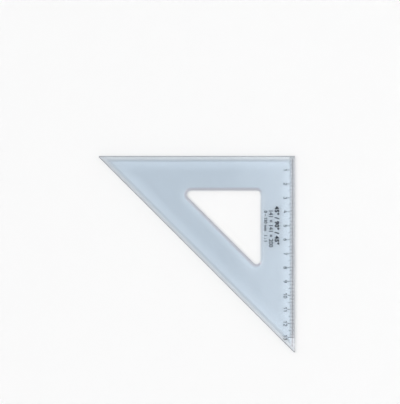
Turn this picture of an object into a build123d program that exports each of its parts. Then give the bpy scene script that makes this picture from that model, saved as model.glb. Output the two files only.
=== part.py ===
from build123d import *
import math
import os

# A 45 degree set square: one clear moulded plate with a raised inking edge all round,
# a finger cut-out, and a centimetre scale printed on its upper face along one leg.
# Millimetres. The plate lies on its drawing face at z = 0, with +Z up. Its right-angle
# corner points to +X +Y, and the origin is the middle of its box.

# Plate
HYPOTENUSE_LENGTH = 200.0
PLATE_THICKNESS = 2.0
BAND_WIDTH = 24.7
CORNER_RADIUS = 0.5
EDGE_BREAK = 0.4

# Inking edge: the thin rim stands clear of the paper, and a shoulder slopes down from it
RIM_WIDTH = 2.3
RIM_THICKNESS = 1.0
SHOULDER_WIDTH = 1.7

# Finger cut-out: a wide bevel round its upper edge and a small one underneath
CUTOUT_CORNER_RADIUS = 3.0
CUTOUT_BEVEL_WIDTH = 2.2
CUTOUT_BEVEL_DEPTH = 0.9
CUTOUT_EDGE_BREAK = 0.3

# Printed scale: zero is the far leg's edge, and the lines run in from the scale's own broken edge
CENTIMETRE = 10.0
LINE_MARGIN = 0.3
CENTIMETRE_LINE_LENGTH = 4.7
HALF_LINE_LENGTH = 4.0
MILLIMETRE_LINE_LENGTH = 3.2
CENTIMETRE_LINE_WIDTH = 0.3
MILLIMETRE_LINE_WIDTH = 0.26
INK_THICKNESS = 0.05

# Numerals: plain stroked figures that stand beside the centimetre lines
NUMERAL_HEIGHT = 2.6
NUMERAL_WIDTH = 1.7
NUMERAL_STROKE = 0.36
NUMERAL_SPACING = 0.4
NUMERAL_GAP = 0.3

MILLIMETRES_PER_CENTIMETRE = 10
MILLIMETRES_PER_HALF = 5
MIDDLE_SHARE = 0.5

# The strokes of each figure, as shares of its width and height: two points are a straight
# stroke, and three are an arc through them. A nine is a six turned round.
FIGURE_SHARES = {
    "0": [[(0.0, 0.28), (0.0, 0.72)], [(0.0, 0.72), (0.5, 1.0), (1.0, 0.72)],
          [(1.0, 0.72), (1.0, 0.28)], [(1.0, 0.28), (0.5, 0.0), (0.0, 0.28)]],
    "1": [[(0.15, 0.75), (0.6, 1.0)], [(0.6, 1.0), (0.6, 0.0)]],
    "2": [[(0.0, 0.72), (0.5, 1.0), (1.0, 0.72)], [(1.0, 0.72), (0.94, 0.55), (0.8, 0.42)],
          [(0.8, 0.42), (0.0, 0.0)], [(0.0, 0.0), (1.0, 0.0)]],
    "3": [[(0.16, 0.88), (0.84, 0.88), (0.5, 0.54)], [(0.5, 0.54), (0.955, 0.27), (0.1, 0.135)]],
    "4": [[(0.55, 1.0), (0.0, 0.28)], [(0.0, 0.28), (1.0, 0.28)], [(0.72, 0.52), (0.72, 0.0)]],
    "5": [[(0.9, 1.0), (0.18, 1.0)], [(0.18, 1.0), (0.12, 0.48)],
          [(0.12, 0.48), (0.99, 0.29), (0.07, 0.145)]],
    "6": [[(0.0, 0.28), (0.5, 0.56), (1.0, 0.28)], [(1.0, 0.28), (0.5, 0.0), (0.0, 0.28)],
          [(0.0, 0.28), (0.2, 0.7), (0.75, 1.0)]],
    "7": [[(0.0, 1.0), (1.0, 1.0)], [(1.0, 1.0), (0.35, 0.0)]],
    "8": [[(0.5, 0.54), (0.886, 0.77), (0.5, 1.0)], [(0.5, 1.0), (0.114, 0.77), (0.5, 0.54)],
          [(0.5, 0.54), (0.955, 0.27), (0.5, 0.0)], [(0.5, 0.0), (0.045, 0.27), (0.5, 0.54)]],
}
FIGURE_SHARES["9"] = [[(1.0 - across, 1.0 - up) for across, up in stroke] for stroke in FIGURE_SHARES["6"]]

# Sizes worked out from the driving ones
LEG_LENGTH = HYPOTENUSE_LENGTH / math.sqrt(2.0)
TIP_LOSS = CORNER_RADIUS * math.sqrt(2.0)
HALF_BOX = (LEG_LENGTH - TIP_LOSS) / 2.0
INRADIUS_SHARE = 1.0 - math.sqrt(0.5)
RIM_LIFT = PLATE_THICKNESS - RIM_THICKNESS
MILLIMETRE = CENTIMETRE / MILLIMETRES_PER_CENTIMETRE
LINE_START = EDGE_BREAK + LINE_MARGIN
NUMERAL_REACH = LINE_START + CENTIMETRE_LINE_LENGTH + NUMERAL_GAP + NUMERAL_HEIGHT
NUMERAL_PITCH = NUMERAL_WIDTH + NUMERAL_SPACING
CENTIMETRE_COUNT = int((LEG_LENGTH - NUMERAL_REACH - NUMERAL_PITCH) / CENTIMETRE)


def inset_triangle(inset):
    """The plate's sharp outline moved inwards by inset on all three sides, as a face at z = 0."""
    corner = HALF_BOX - inset
    leg = LEG_LENGTH - inset / INRADIUS_SHARE
    return make_face(Polyline((corner, corner), (corner - leg, corner), (corner, corner - leg), close=True))


def build_plate():
    """Upper slab, the sloped plateau under it that stands on the paper, less the cut-out."""
    outline = fillet(inset_triangle(0).vertices(), CORNER_RADIUS)
    slab = extrude(Pos(Z=RIM_LIFT) * outline, RIM_THICKNESS)
    top_edges = slab.faces().sort_by(Axis.Z)[-1].edges()
    slab = chamfer(top_edges, EDGE_BREAK)
    foot = inset_triangle(RIM_WIDTH + SHOULDER_WIDTH)
    plateau_top = Pos(Z=RIM_LIFT) * inset_triangle(RIM_WIDTH)
    plateau = loft([foot, plateau_top], ruled=True)
    cutout = fillet(inset_triangle(BAND_WIDTH).vertices(), CUTOUT_CORNER_RADIUS)
    plate = slab + plateau - extrude(cutout, PLATE_THICKNESS)
    drawing_face = plate.faces().sort_by(Axis.Z)[0]
    plate = plate.chamfer(CUTOUT_EDGE_BREAK, None, drawing_face.inner_wires()[0].edges())
    upper_face = plate.faces().sort_by(Axis.Z)[-1]
    cutout_edges = upper_face.inner_wires()[0].edges()
    return plate.chamfer(CUTOUT_BEVEL_WIDTH, CUTOUT_BEVEL_DEPTH, cutout_edges, upper_face)


def build_lines():
    """The scale's lines, one ink bar for each millimetre, sorted by their length."""
    lines = {"centimetre_lines": [], "half_centimetre_lines": [], "millimetre_lines": []}
    for count in range(1, CENTIMETRE_COUNT * MILLIMETRES_PER_CENTIMETRE + 1):
        name, length, width = "millimetre_lines", MILLIMETRE_LINE_LENGTH, MILLIMETRE_LINE_WIDTH
        if count % MILLIMETRES_PER_CENTIMETRE == 0:
            name, length, width = "centimetre_lines", CENTIMETRE_LINE_LENGTH, CENTIMETRE_LINE_WIDTH
        elif count % MILLIMETRES_PER_HALF == 0:
            name, length = "half_centimetre_lines", HALF_LINE_LENGTH
        bar = Box(length, width, INK_THICKNESS, align=(Align.MAX, Align.CENTER, Align.MIN))
        place = Pos(HALF_BOX - LINE_START, HALF_BOX - count * MILLIMETRE, PLATE_THICKNESS)
        lines[name].append((place * bar).solid())
    return lines


def build_figure(figure):
    """One figure as an ink solid, drawn upright about its middle with a round-nibbed pen."""
    span = Vector(NUMERAL_WIDTH - NUMERAL_STROKE, NUMERAL_HEIGHT - NUMERAL_STROKE)
    nib = Circle(NUMERAL_STROKE / 2.0)
    strokes = [
        [((across - MIDDLE_SHARE) * span.X, (up - MIDDLE_SHARE) * span.Y) for across, up in stroke]
        for stroke in FIGURE_SHARES[figure]
    ]
    paths = [Line(*points) if len(points) == 2 else ThreePointArc(*points) for points in strokes]
    ends = {end for points in strokes for end in (points[0], points[-1])}
    drawn = Sketch() + [trace(path, NUMERAL_STROKE) for path in paths] + [Pos(end) * nib for end in sorted(ends)]
    return extrude(drawn, INK_THICKNESS).solid()


def build_numerals():
    """The numbers beside the centimetre lines, read with the scale's edge at their heads."""
    figures = {figure: build_figure(figure) for figure in FIGURE_SHARES}
    solids = []
    middle = HALF_BOX - NUMERAL_REACH + NUMERAL_HEIGHT / 2.0
    for count in range(1, CENTIMETRE_COUNT + 1):
        text = str(count)
        for index, figure in enumerate(text):
            along = (index - (len(text) - 1) / 2.0) * NUMERAL_PITCH
            place = Pos(middle, HALF_BOX - count * CENTIMETRE - along, PLATE_THICKNESS) * Rot(Z=-90)
            solids.append(place * figures[figure])
    return solids


os.makedirs("parts", exist_ok=True)
export_step(build_plate(), "parts/triangle_plate.step")
for node, bars in build_lines().items():
    export_step(Compound(bars), f"parts/{node}.step")
export_step(Compound(build_numerals()), "parts/scale_numerals.step")
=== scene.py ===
import math

import bmesh
import bpy
import numpy as np
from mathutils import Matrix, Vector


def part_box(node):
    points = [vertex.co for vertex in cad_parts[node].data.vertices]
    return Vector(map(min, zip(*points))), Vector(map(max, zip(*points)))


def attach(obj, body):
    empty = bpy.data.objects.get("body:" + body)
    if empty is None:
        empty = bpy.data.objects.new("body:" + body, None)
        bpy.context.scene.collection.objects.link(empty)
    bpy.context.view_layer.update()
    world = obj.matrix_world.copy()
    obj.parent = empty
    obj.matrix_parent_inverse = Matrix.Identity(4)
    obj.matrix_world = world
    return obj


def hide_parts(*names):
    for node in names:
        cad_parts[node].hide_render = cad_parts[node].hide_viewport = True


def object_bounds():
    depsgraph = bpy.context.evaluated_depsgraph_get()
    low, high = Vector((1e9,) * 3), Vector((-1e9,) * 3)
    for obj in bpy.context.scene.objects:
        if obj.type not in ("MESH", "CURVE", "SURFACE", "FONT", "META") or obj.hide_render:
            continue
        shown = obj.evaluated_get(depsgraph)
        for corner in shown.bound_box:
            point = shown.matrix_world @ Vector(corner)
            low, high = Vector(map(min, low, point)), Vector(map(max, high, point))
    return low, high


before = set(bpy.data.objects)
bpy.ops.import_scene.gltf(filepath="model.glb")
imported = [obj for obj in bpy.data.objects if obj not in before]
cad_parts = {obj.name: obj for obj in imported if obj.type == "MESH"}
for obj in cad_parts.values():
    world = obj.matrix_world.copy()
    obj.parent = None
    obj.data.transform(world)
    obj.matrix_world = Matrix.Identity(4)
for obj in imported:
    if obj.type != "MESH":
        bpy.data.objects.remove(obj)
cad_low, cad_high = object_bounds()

# The plate is one moulding of clear plastic with a pale blue tint, polished on both faces. Its three edges
# are thin rims that stand clear of the paper, with a sloped shoulder behind each, so that ink can't creep
# under them. A bevelled triangular hole lets fingertips lift and slide it.
MM = 0.001
plate_low, plate_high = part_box("triangle_plate")
half_box = plate_high.x
drawing_face, upper_face = plate_low.z, plate_high.z
corner_radius = 0.5 * MM
least_corner_radius = 0.2 * MM
leg_length = 2.0 * half_box + math.sqrt(2.0) * corner_radius
rim_width = 2.3 * MM
rim_underside = 1.0 * MM
shoulder_foot = 4.0 * MM
shoulder_round = 0.3 * MM
edge_break = 0.4 * MM
edge_round = 0.1 * MM
band_width = 24.7 * MM
cutout_radius = 3.0 * MM
cutout_edge_break = 0.3 * MM
bevel_width = 2.2 * MM
bevel_depth = 0.9 * MM
bevel_round = 0.25 * MM
print_seat = 0.003 * MM
arc_points = 17
round_points = 7
# Lines along which a face's painted light and shade change, in from the outline, and how far a soft change
# reaches each way. The glows are bands of painted light on the paper beneath the drawing face.
rim_line = 1.35 * MM
outer_glow, outer_glow_spread = 8.0 * MM, 3.0 * MM
inner_glow, inner_glow_spread = 20.3 * MM, 2.0 * MM
bevel_line = 23.3 * MM
# The way that each side faces: the scale's side, the plain leg's, the long side's, and the scale's once more
side_facing = np.radians([0.0, 90.0, 225.0, 360.0])


def rounded_profile(corners, setbacks, steps):
    """A closed outline with soft corners: each corner is a quadratic curve that leaves one side its setback
    before the corner and joins the next side as far after it. A point's outward normal is the curve's
    direction there with its two parts swapped. Returns points and normals as (point, 2) arrays."""
    before = np.roll(corners, 1, axis=0) - corners
    after = np.roll(corners, -1, axis=0) - corners
    start = corners + before / np.linalg.norm(before, axis=1, keepdims=True) * setbacks[:, None]
    end = corners + after / np.linalg.norm(after, axis=1, keepdims=True) * setbacks[:, None]
    t = np.linspace(0.0, 1.0, steps)[None, :, None]
    points = (1 - t) ** 2 * start[:, None] + 2 * t * (1 - t) * corners[:, None] + t**2 * end[:, None]
    along = (1 - t) * (corners - start)[:, None] + t * (end - corners)[:, None]
    along = (along / np.linalg.norm(along, axis=2, keepdims=True)).reshape(-1, 2)
    return points.reshape(-1, 2), along[:, ::-1]


def triangle_rings(inset, radius, steps):
    """Rings round the 45 degree triangle, one for each inset from its sharp outline. A ring is three arcs:
    each arc's centre stands off its corner so that both sides touch it, and a point is that centre plus the
    radius times (cos, sin) of an angle that turns from one side to the next. Returns x, y and the angle as
    (ring, point) arrays."""
    inset, radius = inset[:, None, None], radius[:, None, None]
    inradius_share = 1.0 - math.sqrt(0.5)
    corner = half_box - inset
    leg = leg_length - inset / inradius_share
    tip = 1.0 + math.sqrt(2.0)
    along_legs = np.array([[0.0, 0.0], [-1.0, 0.0], [0.0, -1.0]])
    to_centre = np.array([[-1.0, -1.0], [tip, -1.0], [-1.0, tip]])
    turn_from, turn_to = side_facing[:-1, None], side_facing[1:, None]
    angle = turn_from + (turn_to - turn_from) * np.linspace(0.0, 1.0, steps)
    x = corner + leg * along_legs[:, :1] + radius * (to_centre[:, :1] + np.cos(angle))
    y = corner + leg * along_legs[:, 1:] + radius * (to_centre[:, 1:] + np.sin(angle))
    rings = len(inset)
    return x.reshape(rings, -1), y.reshape(rings, -1), np.tile(angle.ravel(), (rings, 1))


def ring_quads(rings, points):
    """The faces of a surface of closed rings: each joins a point and the next on its ring to the same two on
    the next ring, and the last ring is joined to the first. Returns indices as a (ring, point, 4) array."""
    index = np.arange(rings * points).reshape(rings, points)
    beside = np.roll(index, -1, axis=1)
    return np.stack([index, beside, np.roll(beside, -1, axis=0), np.roll(index, -1, axis=0)], axis=2)


# The moulding's section: each corner's distance in from the sharp outline, its height, and how far its curve
# reaches along both faces
bevel_line_height = upper_face - bevel_depth * (1.0 - (band_width - bevel_line) / bevel_width)
section = np.array([
    [band_width - cutout_edge_break, drawing_face, edge_round],
    [inner_glow, drawing_face, inner_glow_spread],
    [outer_glow, drawing_face, outer_glow_spread],
    [shoulder_foot, drawing_face, shoulder_round],
    [rim_width, rim_underside, shoulder_round],
    [rim_line, rim_underside, edge_round],
    [0.0, rim_underside, edge_round],
    [0.0, upper_face - edge_break, edge_round],
    [edge_break, upper_face - print_seat, edge_round],
    [band_width - bevel_width, upper_face - print_seat, bevel_round],
    [bevel_line, bevel_line_height, bevel_round],
    [band_width, upper_face - bevel_depth, bevel_round],
    [band_width, drawing_face + cutout_edge_break, edge_round],
])
# For the face after each corner, painted light and shade: the share of light that it lets through to the
# paper, which paints shadow and light there, above 1 where a slope stands in for light that it would gather,
# and how clear it looks, which paints shade into its seen colour, darkest at the edges and walls. The values
# differ from side to side as a lamp on the left would light them. Each has a value for the scale's side, the
# plain leg's, the long side's, and the scale's side at its low tip.
painted_light_and_shade_shares = {
    "drawing face beside the cut-out": [(0.86, 0.89, 1.03, 0.86), (1.00, 1.00, 1.00, 1.00)],
    "drawing face": [(0.89, 0.89, 0.89, 0.89), (1.00, 1.00, 1.00, 1.00)],
    "drawing face beside the shoulder": [(1.07, 1.04, 1.02, 1.07), (1.00, 1.00, 1.00, 1.00)],
    "shoulder": [(1.20, 0.81, 0.85, 1.20), (0.99, 0.93, 0.93, 0.99)],
    "rim beside the shoulder": [(1.02, 1.02, 1.00, 1.02), (0.40, 0.99, 0.93, 0.40)],
    "rim": [(1.02, 1.02, 0.91, 0.93), (1.00, 0.94, 0.92, 1.00)],
    "outer wall": [(0.79, 0.47, 0.51, 0.70), (0.97, 0.97, 0.97, 0.97)],
    "broken edge": [(0.81, 0.34, 0.34, 0.70), (0.47, 0.00, 0.00, 0.40)],
    "upper face": [(0.89, 0.89, 0.89, 0.89), (1.00, 1.00, 1.00, 1.00)],
    "bevel": [(0.88, 0.86, 1.05, 0.88), (0.94, 0.85, 0.87, 0.94)],
    "bevel's foot": [(0.93, 0.84, 0.72, 0.93), (0.94, 0.80, 0.62, 0.94)],
    "cut-out's wall": [(0.79, 0.47, 0.51, 0.79), (0.97, 0.97, 0.97, 0.97)],
    "lower broken edge": [(0.87, 0.54, 0.50, 0.87), (0.57, 0.17, 0.17, 0.57)],
}
painted_light_shares, painted_shade_shares = np.array(list(painted_light_and_shade_shares.values())).transpose(1, 0, 2)
profile, profile_normals = rounded_profile(section[:, :2], section[:, 2], round_points)
inset, height = profile[:, 0], profile[:, 1]
ring_radius = np.where(
    inset < band_width / 2,
    np.maximum(corner_radius - inset, least_corner_radius),
    cutout_radius + band_width - inset,
)
x, y, angle = triangle_rings(inset, ring_radius, arc_points)
sideways, upward = profile_normals[:, :1], profile_normals[:, 1:]
plate_points = np.stack([x, y, np.broadcast_to(height[:, None], x.shape)], axis=2)
plate_normals = np.stack(
    [np.cos(angle) * sideways, np.sin(angle) * sideways, np.broadcast_to(upward, x.shape)], axis=2
)
plate_mesh = bpy.data.meshes.new("clear_plate")
plate_mesh.from_pydata(plate_points.reshape(-1, 3), [], ring_quads(*x.shape).reshape(-1, 4).tolist())
plate_mesh.shade_smooth()
plate_mesh.normals_split_custom_set_from_vertices(plate_normals.reshape(-1, 3))


def over_plate(shares):
    """A share for each point of the moulding, from one for each face and side. Round a corner of the section
    it runs evenly from one face to the next, and round a corner of the triangle from side to side."""
    t = np.linspace(0.0, 1.0, round_points)[None, :, None]
    sides = len(side_facing)
    by_ring = ((1 - t) * np.roll(shares, 1, axis=0)[:, None] + t * shares[:, None]).reshape(-1, sides)
    by_side = [np.interp(angle[0], side_facing, side) for side in np.eye(sides)]
    return by_ring @ np.stack(by_side)


# Each point keeps its distance from the edge, its painted share of light to the paper and its painted
# clearness.
stored = {
    "from_edge": np.broadcast_to(inset[:, None], angle.shape),
    "painted_light_passed": over_plate(painted_light_shares),
    "painted_shade_clearness": over_plate(painted_shade_shares),
}
for name, value in stored.items():
    attribute = plate_mesh.attributes.new(name, "FLOAT", "POINT")
    attribute.data.foreach_set("value", value.ravel().astype(np.float32))
plate = bpy.data.objects.new("clear_plate", plate_mesh)
bpy.context.scene.collection.objects.link(plate)


def add_node(tree, kind, sockets, **settings):
    """A shader node with its own settings, each socket given a value or linked to another node's output."""
    made = tree.nodes.new("ShaderNode" + kind)
    for name, value in settings.items():
        setattr(made, name, value)
    for name, value in sockets.items():
        if isinstance(value, bpy.types.NodeSocket):
            tree.links.new(value, made.inputs[name])
        else:
            made.inputs[name].default_value = value
    return made


def reckon(tree, operation, *values):
    """The result of a sum on two or three values."""
    return add_node(tree, "Math", dict(enumerate(values)), operation=operation).outputs["Value"]


def mapped(tree, value, start, end, low, high, kind="LINEAR"):
    """A value carried from its stretch between start and end to the one between low and high, and held at
    the ends."""
    sockets = {"Value": value, "From Min": start, "From Max": end, "To Min": low, "To Max": high}
    return add_node(tree, "MapRange", sockets, interpolation_type=kind).outputs["Result"]


def noise(tree, place, scale, detail, **settings):
    """A cloudy value from 0 to 1, with about as many swells to the metre as its scale."""
    sockets = {"Vector": place, "Scale": scale, "Detail": detail}
    return add_node(tree, "TexNoise", sockets, **settings).outputs["Fac"]


def stored_value(tree, name):
    """A value that the piece's own mesh holds at its points."""
    return add_node(tree, "Attribute", {}, attribute_name=name).outputs["Fac"]


def tone_ramp(tree, factor, stops):
    """A colour ramp on a factor, from (position, colour) stops in order."""
    made = add_node(tree, "ValToRGB", {"Fac": factor})
    elements = made.color_ramp.elements
    while len(elements) < len(stops):
        elements.new(0.5)
    for element, (position, colour) in zip(elements, stops):
        element.position = position
        element.color = (*colour, 1.0)
    return made.outputs["Color"]


def new_material(name):
    """A material with its node tree and its Principled BSDF."""
    made = bpy.data.materials.new(name)
    made.use_nodes = True
    return made, made.node_tree, made.node_tree.nodes["Principled BSDF"]


# Handling leaves the same marks on the plate and on its print: hairlines from being slid about, and the
# faint cloudy film of fingers. Hairlines come in sets, each with its direction in radians and how often a
# hairline varies along and across it, to the metre.
hairline_sets = ((0.35, 45.0, 3800.0), (1.25, 60.0, 4600.0), (2.3, 38.0, 4200.0))
hairline_start, hairline_full = 0.70, 0.78
film_cloud = {"Scale": 42.0, "Detail": 4.0, "Roughness": 0.6, "Distortion": 0.8}
film_start, film_full = 0.38, 0.72
handling = bpy.data.node_groups.new("handling_marks", "ShaderNodeTree")
handling.interface.new_socket("Vector", in_out="INPUT", socket_type="NodeSocketVector")
handling.interface.new_socket("Hairlines", in_out="OUTPUT", socket_type="NodeSocketFloat")
handling.interface.new_socket("Film", in_out="OUTPUT", socket_type="NodeSocketFloat")
place = handling.nodes.new("NodeGroupInput").outputs["Vector"]
hairlines = 0.0
for turn, along, across in hairline_sets:
    laid = add_node(handling, "Mapping", {"Vector": place, "Rotation": (0.0, 0.0, turn)}).outputs["Vector"]
    drawn = add_node(handling, "Mapping", {"Vector": laid, "Scale": (along, across, 1.0)}).outputs["Vector"]
    streak = noise(handling, drawn, 1.0, 1.0, noise_dimensions="2D")
    line = mapped(handling, streak, hairline_start, hairline_full, 0.0, 1.0)
    hairlines = reckon(handling, "MAXIMUM", hairlines, line)
smear = add_node(handling, "TexNoise", {"Vector": place, **film_cloud}).outputs["Fac"]
film = mapped(handling, smear, film_start, film_full, 0.0, 1.0, "SMOOTHSTEP")
marks = handling.nodes.new("NodeGroupOutput")
handling.links.new(hairlines, marks.inputs["Hairlines"])
handling.links.new(film, marks.inputs["Film"])


def handled(tree):
    """The place on a piece, and the handling marks there."""
    place = add_node(tree, "TexCoord", {}).outputs["Object"]
    return place, add_node(tree, "Group", {"Vector": place}, node_tree=handling).outputs


# The plastic: its tint, the painted shade on what shows through it, from its darkest edges to its clear
# faces, how dull film, hairlines and rubbed edges leave its polish, and the slight waves of moulding
refraction = 1.5
plastic_tint, tint_density = (0.21, 0.54, 0.82, 1.0), 100.0
painted_shade_tones = (
    (0.0, (0.07, 0.08, 0.10)),
    (0.85, (0.90, 0.77, 0.77)),
    (0.93, (0.88, 0.90, 0.92)),
    (1.0, (0.96, 0.96, 0.96)),
)
polish_roughness, film_roughness = 0.035, 0.11
hairline_roughness, hairline_depth = 0.12, 0.002 * MM
rub_roughness, rub_start, rub_end = 0.22, 0.2 * MM, 1.0 * MM
nick_scale = 650.0
wave_scale, wave_height = 55.0, 0.012 * MM
plastic, tree, shader = new_material("clear_blue_plastic")
output = tree.nodes["Material Output"]
shader.inputs["IOR"].default_value = refraction
shader.inputs["Transmission Weight"].default_value = 1.0
tint = add_node(tree, "VolumeAbsorption", {"Color": plastic_tint, "Density": tint_density})
tree.links.new(tint.outputs["Volume"], output.inputs["Volume"])
# Painted shade: the seen colour darkens towards the edges and walls, and along the lines set in the table,
# by each point's painted clearness.
seen_tone = tone_ramp(tree, stored_value(tree, "painted_shade_clearness"), painted_shade_tones)
tree.links.new(seen_tone, shader.inputs["Base Color"])
place, marks = handled(tree)
filmed = mapped(tree, marks["Film"], 0.0, 1.0, polish_roughness, film_roughness)
scratched = reckon(tree, "MULTIPLY_ADD", marks["Hairlines"], hairline_roughness, filmed)
from_edge = stored_value(tree, "from_edge")
near_edge = mapped(tree, from_edge, rub_start, rub_end, rub_roughness, 0.0, "SMOOTHSTEP")
rubbed = reckon(tree, "MULTIPLY_ADD", near_edge, noise(tree, place, nick_scale, 3.0), scratched)
tree.links.new(rubbed, shader.inputs["Roughness"])
waves = {"Height": noise(tree, place, wave_scale, 1.0), "Distance": wave_height, "Strength": 1.0}
wavy = add_node(tree, "Bump", waves).outputs["Normal"]
scores = {"Height": marks["Hairlines"], "Distance": hairline_depth, "Strength": 1.0, "Normal": wavy}
scored = add_node(tree, "Bump", scores, invert=True)
tree.links.new(scored.outputs["Normal"], shader.inputs["Normal"])
# Light on its way to the paper goes straight through, by each face's painted share, which paints shadow and
# light on the paper beneath. So does light that was mirrored to and fro inside, once it has gone far enough
# through the tint to show at the edges as a deep blue.
most_mirrorings = 2
path = add_node(tree, "LightPath", {}).outputs
to_paper = reckon(tree, "MAXIMUM", path["Is Shadow Ray"], path["Is Diffuse Ray"])
trapped = reckon(tree, "GREATER_THAN", path["Glossy Depth"], most_mirrorings)
straight = reckon(tree, "MAXIMUM", to_paper, trapped)
# Painted shadow and light: lamp rays pass each point by its painted share of light.
passing = add_node(tree, "BsdfTransparent", {"Color": stored_value(tree, "painted_light_passed")})
mix = add_node(tree, "MixShader", {"Fac": straight, 1: shader.outputs["BSDF"], 2: passing.outputs["BSDF"]})
tree.links.new(mix.outputs["Shader"], output.inputs["Surface"])
plate_mesh.materials.append(plastic)
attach(plate, "root")
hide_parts("triangle_plate")

# The scale is printed on the upper face along one leg in a single pass of dark ink: a short line for each
# millimetre, longer ones for the half and whole centimetres, and a number beside each whole one.
ink_tones = (
    (0.30, (0.018, 0.021, 0.030)),
    (0.55, (0.028, 0.033, 0.046)),
    (0.75, (0.050, 0.056, 0.072)),
)
ink_gloss = 0.2
ink_roughness, handled_ink_roughness = 0.42, 0.58
grain_scale, grain_height = 900.0, 0.004 * MM
ink, tree, shader = new_material("printing_ink")
shader.inputs["Specular IOR Level"].default_value = ink_gloss
place, marks = handled(tree)
coverage = noise(tree, place, grain_scale, 3.0)
tree.links.new(tone_ramp(tree, coverage, ink_tones), shader.inputs["Base Color"])
matt = mapped(tree, marks["Film"], 0.0, 1.0, ink_roughness, handled_ink_roughness)
tree.links.new(matt, shader.inputs["Roughness"])
grainy = add_node(tree, "Bump", {"Height": coverage, "Distance": grain_height, "Strength": 1.0})
tree.links.new(grainy.outputs["Normal"], shader.inputs["Normal"])
for name in ("centimetre_lines", "half_centimetre_lines", "millimetre_lines", "scale_numerals"):
    lines_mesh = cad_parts[name].data
    lines_mesh.materials.clear()
    lines_mesh.materials.append(ink)

# Beside the scale the plate carries its angles, its lengths, and the scale's reach and ratio. They are three
# lines of figures in the same ink and from the same pass, each as thick as the scale's own lines.
print_top = cad_high.z
letter_depth = 0.5
curve_steps = 6
weld_distance = 1e-5


def print_words(name, words, height, spacing, weight, start, baseline):
    """A line of lettering as thin ink: drawn upright at unit size, scaled so that its tallest figure has the
    given height, then turned so that it reads down the scale with its heads to the edge. A letter's x runs
    from the start away from the zero edge, and its y runs from the baseline towards the scale's edge. Weight
    is how far the ink spreads past a letter's outline, and the ink thins there."""
    line = bpy.data.curves.new(name, "FONT")
    line.body = words
    line.space_character = spacing
    line.extrude = letter_depth
    line.bevel_depth = weight
    line.bevel_resolution = 0
    line.resolution_u = curve_steps
    lettering = bpy.data.objects.new(name, line)
    mesh = bpy.data.meshes.new_from_object(lettering)
    bpy.data.objects.remove(lettering)
    joined = bmesh.new()
    joined.from_mesh(mesh)
    bmesh.ops.remove_doubles(joined, verts=joined.verts, dist=weld_distance)
    bmesh.ops.recalc_face_normals(joined, faces=joined.faces)
    joined.to_mesh(mesh)
    joined.free()
    drawn = np.empty(len(mesh.vertices) * 3)
    mesh.vertices.foreach_get("co", drawn)
    drawn = drawn.reshape(-1, 3)
    scale = height / drawn[:, 1].max()
    along = (drawn[:, 0] - drawn[:, 0].min()) * scale
    rise = drawn[:, 1] * scale
    level = upper_face + (print_top - upper_face) * np.maximum(drawn[:, 2], 0.0) / drawn[:, 2].max()
    placed = np.stack([half_box - baseline + rise, half_box - start - along, level], axis=1)
    mesh.vertices.foreach_set("co", placed.ravel())
    mesh.update()
    mesh.materials.append(ink)
    piece = bpy.data.objects.new(name, mesh)
    bpy.context.scene.collection.objects.link(piece)
    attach(piece, "root")


print_words(
    "angles_print", "45° / 90° / 45°",
    height=3.1 * MM, spacing=1.14, weight=0.048, start=36.0 * MM, baseline=14.4 * MM,
)
print_words(
    "sizes_print", "141 × 141 × 200",
    height=2.9 * MM, spacing=0.96, weight=0.006, start=39.2 * MM, baseline=18.7 * MM,
)
print_words(
    "reach_print", "0 – 130 mm   1 : 1",
    height=2.1 * MM, spacing=1.02, weight=0.022, start=39.2 * MM, baseline=22.1 * MM,
)

# The floor is a plain sheet of matt pale paper. It curves up into a wall all round, so that no horizon
# shows, and lies a hair below the plate, so that the two never share a plane.
floor_radius = 3.0
wall_bend = 1.5
wall_height = 2.5
floor_gap = 0.03 * MM
inner_reach = [1.5, 0.5, 0.02]
bend_rings = 24
points_round = 72
paper_white = (0.955, 0.955, 0.955, 1.0)
turn = np.linspace(0.0, 2.0 * np.pi, points_round, endpoint=False)
bend = np.linspace(0.5 * np.pi, 0.0, bend_rings)
reach = np.concatenate([[floor_radius + wall_bend], floor_radius + wall_bend * np.sin(bend), inner_reach])
flat = np.zeros(len(inner_reach))
rise = np.concatenate([[wall_height], wall_bend * (1.0 - np.cos(bend)), flat]) - floor_gap
across, along = reach[:, None] * np.cos(turn), reach[:, None] * np.sin(turn)
floor_points = np.stack([across, along, np.broadcast_to(rise[:, None], across.shape)], axis=2)
middle = np.arange(across.size)[-points_round:]
floor_faces = ring_quads(*across.shape)[:-1].reshape(-1, 4).tolist() + [middle.tolist()]
floor_mesh = bpy.data.meshes.new("floor")
floor_mesh.from_pydata(floor_points.reshape(-1, 3), [], floor_faces)
floor_mesh.shade_smooth()
floor = bpy.data.objects.new("floor", floor_mesh)
bpy.context.scene.collection.objects.link(floor)
paper, tree, shader = new_material("pale_paper")
shader.inputs["Base Color"].default_value = paper_white
shader.inputs["Roughness"].default_value = 1.0
shader.inputs["Specular IOR Level"].default_value = 0.0
floor_mesh.materials.append(paper)

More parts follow.
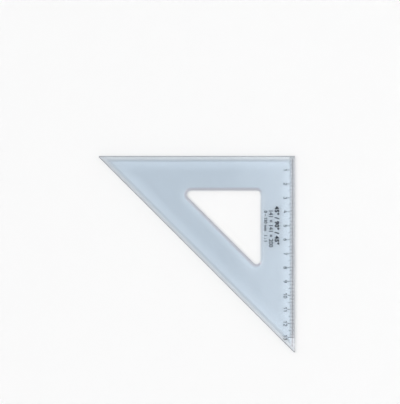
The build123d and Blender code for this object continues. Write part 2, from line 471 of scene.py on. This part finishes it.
# A pale studio dome, darker to the horizon. The polished face mirrors a soft box just right of overhead, the
# bevels mirror a long one on the left, and a broad lamp from the left gives the edges their slim shadows.
# A box's edges are given as the sky's direction where it fades in and where it is full.
horizon_level, zenith_level = 0.28, 0.60
overhead_level, overhead_side, overhead_end = 2.4, (0.008, 0.085), (0.92, 0.975)
left_level, left_side, left_foot = 1.2, (-0.45, -0.62), (0.20, 0.45)
lamp_strength = 0.75
lamp_spread = math.radians(36.0)
lamp_tilt, to_lamp = math.radians(33.0), math.radians(153.0)
studio = bpy.data.worlds.new("studio")
studio.use_nodes = True
bpy.context.scene.world = studio
tree = studio.node_tree
sky = add_node(tree, "TexCoord", {}).outputs["Generated"]
direction = add_node(tree, "SeparateXYZ", {"Vector": sky}).outputs
level = mapped(tree, direction["Z"], 0.0, 1.0, horizon_level, zenith_level)
soft_boxes = ((overhead_level, overhead_side, overhead_end), (left_level, left_side, left_foot))
for box_level, side, end in soft_boxes:
    box_side = mapped(tree, direction["X"], *side, 0.0, box_level, "SMOOTHSTEP")
    box_end = mapped(tree, direction["Z"], *end, 0.0, 1.0, "SMOOTHSTEP")
    level = reckon(tree, "MULTIPLY_ADD", box_side, box_end, level)
background = tree.nodes["Background"]
background.inputs["Color"].default_value = (1.0, 1.0, 1.0, 1.0)
tree.links.new(level, background.inputs["Strength"])
lamp = bpy.data.lights.new("left_lamp", "SUN")
lamp.energy = lamp_strength
lamp.angle = lamp_spread
left_lamp = bpy.data.objects.new("left_lamp", lamp)
left_lamp.rotation_euler = (0.0, lamp_tilt, to_lamp)
bpy.context.scene.collection.objects.link(left_lamp)

# The camera looks straight down on the plate, as far to the left of its right-angle corner and below it as
# the photograph's middle is.
image_height = 404
pixels_per_metre = 1395.5
left_of_corner, below_corner = 68.15 * MM, 32.96 * MM
camera = bpy.data.cameras.new("camera")
camera.lens = 150.0
camera.sensor_width = 36.0
standoff = camera.lens / camera.sensor_width * image_height / pixels_per_metre
viewpoint = bpy.data.objects.new("camera", camera)
viewpoint.location = (half_box - left_of_corner, half_box - below_corner, upper_face + standoff)
bpy.context.scene.collection.objects.link(viewpoint)
bpy.context.scene.camera = viewpoint
bpy.context.scene.view_settings.view_transform = "Standard"
